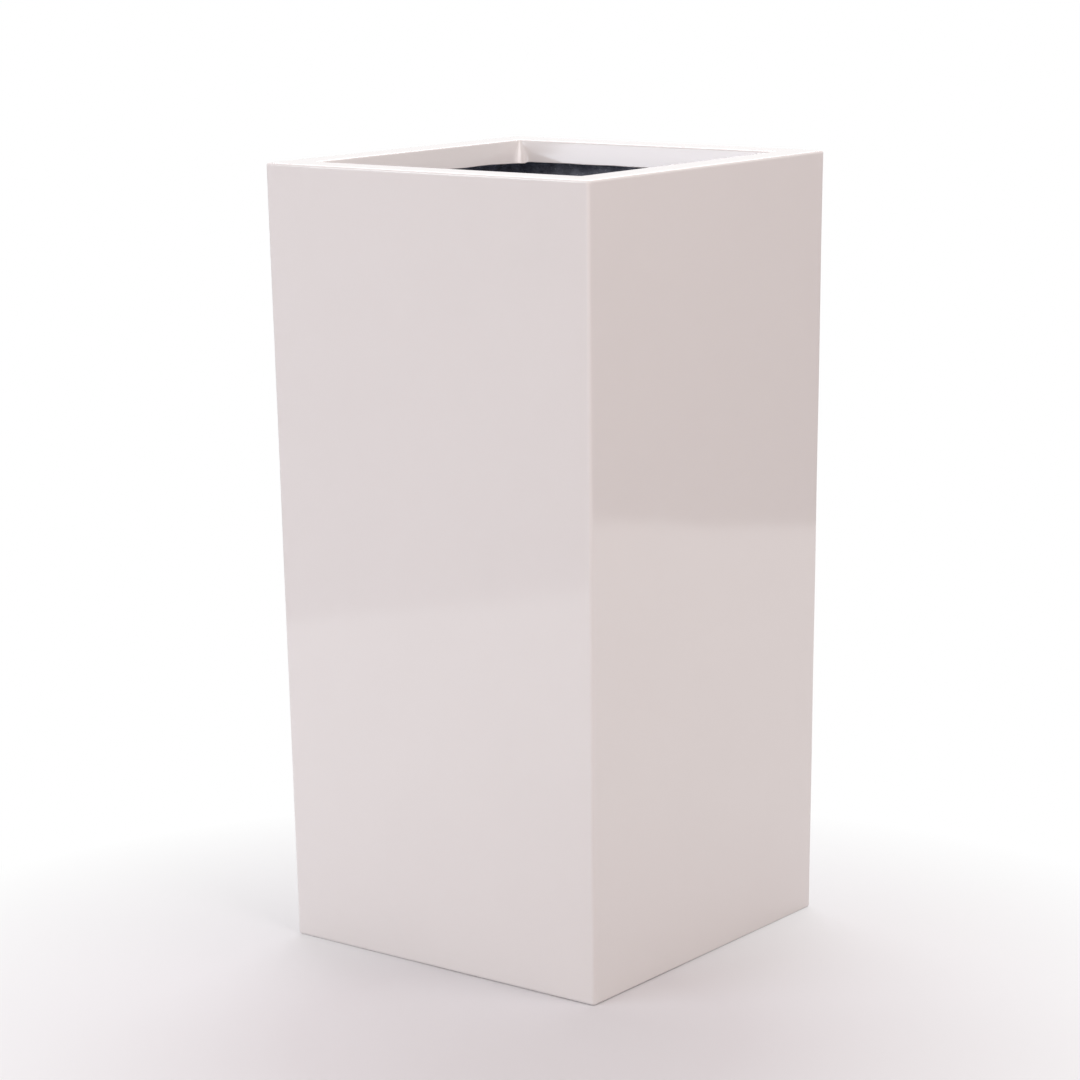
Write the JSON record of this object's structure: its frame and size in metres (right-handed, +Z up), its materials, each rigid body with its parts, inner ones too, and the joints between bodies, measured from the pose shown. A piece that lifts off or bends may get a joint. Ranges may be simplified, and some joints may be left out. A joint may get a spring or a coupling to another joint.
{
  "type": "tall planter",
  "caption": "Tall square planter with gently tapered glossy walls, a flat rim with a lip turned down inside the mouth, a bonded floor and a pull-out drain plug.",
  "frame": {"origin": "centre of the square footprint, on the ground", "axes": "+Z up along the planter's height; -Y is the front face, and the four sides are alike"},
  "size_m": [0.381, 0.381, 0.762],
  "materials": {
    "gel_coat": "polished white polyester gel coat, high gloss with a slight ripple",
    "laminate": "rough chopped-strand glass laid up in dark grey resin",
    "panel": "flat glass-fibre panel in dark grey resin, smoother than the walls",
    "paste": "hand-smoothed resin paste and glass",
    "rubber": "matt black moulded rubber"
  },
  "bodies": {
    "planter": {"outer_shell": "gel_coat", "inner_laminate": "laminate", "floor_panel": "panel", "bonding_fillet": "paste"},
    "plug": {"drain_plug": "rubber"}
  },
  "joints": [
    {"name": "plug_lift", "type": "slide", "parent": "planter", "child": "plug", "axis": [0, 0, 1], "range_m": [0, 0.78]}
  ]
}
